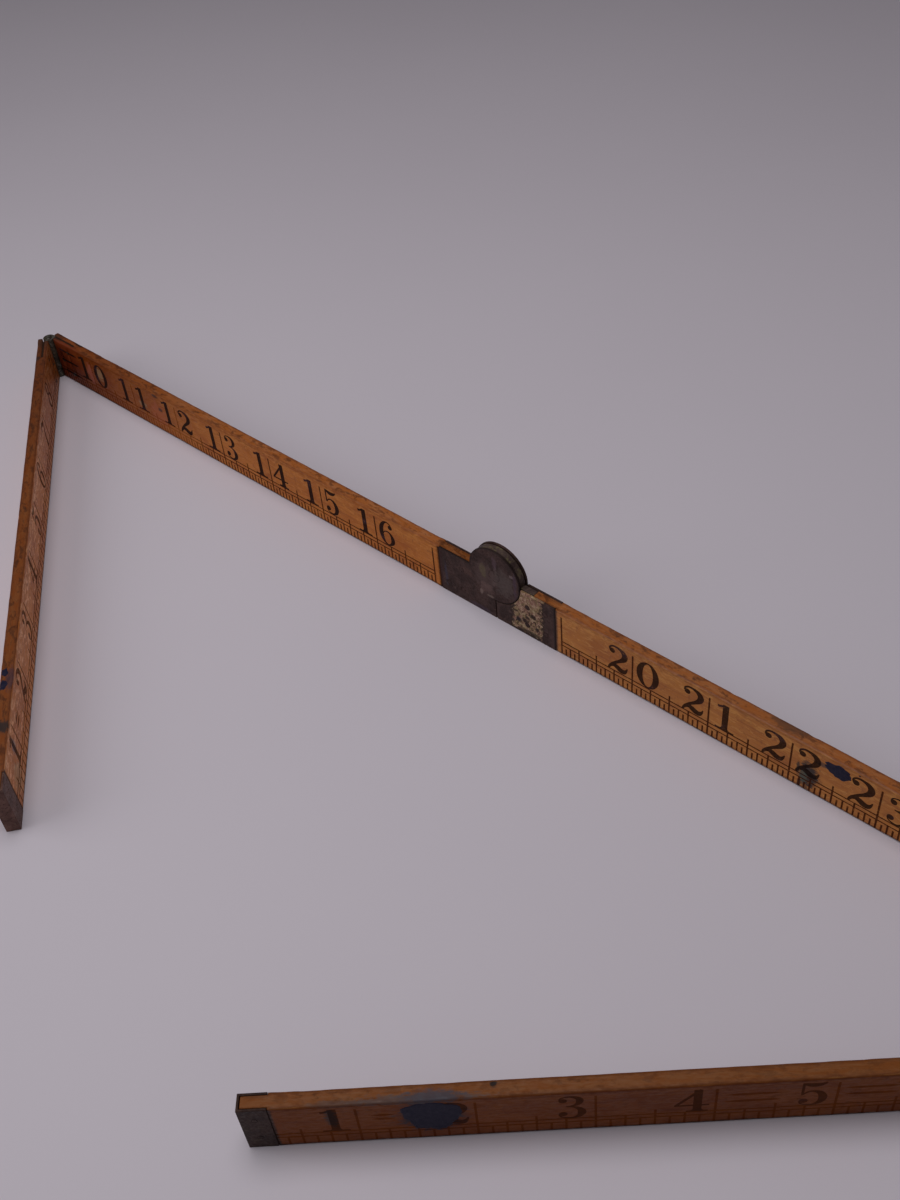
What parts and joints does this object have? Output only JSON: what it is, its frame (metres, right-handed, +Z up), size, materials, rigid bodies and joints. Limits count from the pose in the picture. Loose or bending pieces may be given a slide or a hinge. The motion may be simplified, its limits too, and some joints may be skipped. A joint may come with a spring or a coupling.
{
  "type": "folding rule",
  "caption": "Narrow four-fold wooden rule with brass tip caps, two thin outer hinges and a round-headed middle joint, standing half open on its narrow edge.",
  "frame": {"origin": "centre of the bounding box's footprint, on the surface that the narrow edges stand on", "axes": "+X along the two inner legs towards the high end of the scale, +Y from the graduated front faces of the inner legs to their backs, +Z up, across the width of the legs"},
  "size_m": [0.4622, 0.1636, 0.0271],
  "materials": {
    "boxwood": "worn satin varnish, amber to orange-brown, with printed black graduations",
    "joint_brass": "dark brown-grey patina with worn patches",
    "hinge_brass": "greenish grey patina",
    "cap_brass": "dark patina, rubbed at the edges"
  },
  "bodies": {
    "leg_b": {"leg_b_wood": "boxwood", "hinge_9_leaf_b": "hinge_brass", "hinge_9_pin": "hinge_brass", "hinge_9_rivet_b_1": "hinge_brass", "hinge_9_rivet_b_2": "hinge_brass", "hinge_9_rivet_b_3": "hinge_brass", "joint_plate_b_front": "joint_brass", "joint_plate_b_back": "joint_brass", "pivot_rivet": "joint_brass", "joint_rivet_b_1": "joint_brass", "joint_rivet_b_2": "joint_brass", "joint_rivet_b_3": "joint_brass", "joint_rivet_b_4": "joint_brass"},
    "leg_a": {"leg_a_wood": "boxwood", "hinge_9_leaf_a": "hinge_brass", "hinge_9_rivet_a_1": "hinge_brass", "hinge_9_rivet_a_2": "hinge_brass", "hinge_9_rivet_a_3": "hinge_brass", "tip_cap_a": "cap_brass", "cap_rivet_a_1": "cap_brass", "cap_rivet_a_2": "cap_brass"},
    "leg_c": {"leg_c_wood": "boxwood", "hinge_27_leaf_c": "hinge_brass", "hinge_27_pin": "hinge_brass", "hinge_27_rivet_c_1": "hinge_brass", "hinge_27_rivet_c_2": "hinge_brass", "hinge_27_rivet_c_3": "hinge_brass", "joint_tongue_c": "joint_brass", "joint_plate_c_front": "joint_brass", "joint_plate_c_back": "joint_brass", "joint_rivet_c_1": "joint_brass", "joint_rivet_c_2": "joint_brass", "joint_rivet_c_3": "joint_brass", "joint_rivet_c_4": "joint_brass"},
    "leg_d": {"leg_d_wood": "boxwood", "hinge_27_leaf_d": "hinge_brass", "hinge_27_rivet_d_1": "hinge_brass", "hinge_27_rivet_d_2": "hinge_brass", "hinge_27_rivet_d_3": "hinge_brass", "tip_cap_d": "cap_brass", "cap_rivet_d_1": "cap_brass", "cap_rivet_d_2": "cap_brass"}
  },
  "joints": [
    {"name": "hinge_9", "type": "hinge", "parent": "leg_b", "child": "leg_a", "pos_m": [-0.22874, 0.07752, 0.0085], "axis": [0, 0, 1], "range_deg": [-141.8, 38.2]},
    {"name": "middle_joint", "type": "hinge", "parent": "leg_b", "child": "leg_c", "pos_m": [-0.00014, 0.07973, 0.01725], "axis": [0, -1, 0], "range_deg": [0, 180]},
    {"name": "hinge_27", "type": "hinge", "parent": "leg_c", "child": "leg_d", "pos_m": [0.22846, 0.07752, 0.0085], "axis": [0, 0, -1], "range_deg": [-136.8, 43.2]}
  ]
}
